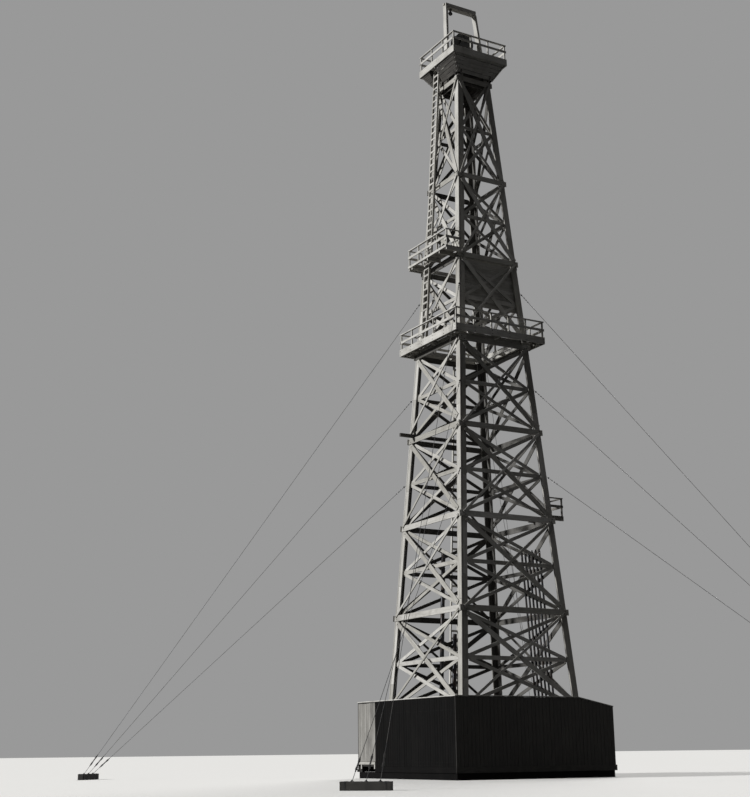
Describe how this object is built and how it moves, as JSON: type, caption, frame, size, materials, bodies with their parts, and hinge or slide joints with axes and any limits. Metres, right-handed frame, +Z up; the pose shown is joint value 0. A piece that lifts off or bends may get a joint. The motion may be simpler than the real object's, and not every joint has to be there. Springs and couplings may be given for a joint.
{
  "type": "scale model oil drilling rig",
  "caption": "Half-size timber drilling derrick: braced open tower with gallery, ladders, crown block, gin pole and wire stays on a boarded enclosure",
  "frame": {"origin": "on the ground at the tower's axis, the centre of the enclosure's plan", "axes": "+Z up along the tower; +X away from the side with the landing and the ladders; -Y faces the windbreak side"},
  "size_m": [15.7424, 15.7424, 21.04],
  "materials": {
    "weathered_timber": "dry weathered planks, pale grey",
    "tarred_timber": "dark tarred boards, matt",
    "pale_timber": "pale painted boards, matt",
    "iron": "dark greased iron",
    "pipe_steel": "dull dark steel"
  },
  "bodies": {
    "derrick": {"sills": "tarred_timber", "floor_frame": "tarred_timber", "floor_deck": "weathered_timber", "front_wall": "tarred_timber", "left_wall": "tarred_timber", "back_wall": "tarred_timber", "right_wall": "tarred_timber", "pale_panel": "pale_timber", "wall_frame": "tarred_timber", "front_left_leg": "weathered_timber", "back_left_leg": "weathered_timber", "front_right_leg": "weathered_timber", "back_right_leg": "weathered_timber", "front_girts": "weathered_timber", "left_girts": "weathered_timber", "back_girts": "weathered_timber", "right_girts": "weathered_timber", "front_lower_braces": "weathered_timber", "left_lower_braces": "weathered_timber", "back_lower_braces": "weathered_timber", "right_lower_braces": "weathered_timber", "front_upper_braces": "weathered_timber", "left_upper_braces": "weathered_timber", "back_upper_braces": "weathered_timber", "right_upper_braces": "weathered_timber", "windbreak": "tarred_timber", "cross_beams": "weathered_timber", "gallery_beams": "weathered_timber", "gallery_deck": "weathered_timber", "gallery_rail": "weathered_timber", "landing_beams": "weathered_timber", "landing_deck": "weathered_timber", "landing_rail": "weathered_timber", "side_landing": "weathered_timber", "crown_frame": "weathered_timber", "crown_brackets": "tarred_timber", "crown_deck": "weathered_timber", "crown_rail": "weathered_timber", "crown_block": "iron", "gin_frame": "weathered_timber", "ladders": "weathered_timber", "pipe_stands": "pipe_steel", "stays": "pipe_steel", "stay_anchors": "tarred_timber"},
    "sheave_group": {"crown_sheaves": "iron"}
  },
  "joints": [
    {"name": "sheave_spin", "type": "hinge", "parent": "derrick", "child": "sheave_group", "pos_m": [0, 0, 19.9], "axis": [0, 1, 0], "continuous": true}
  ]
}
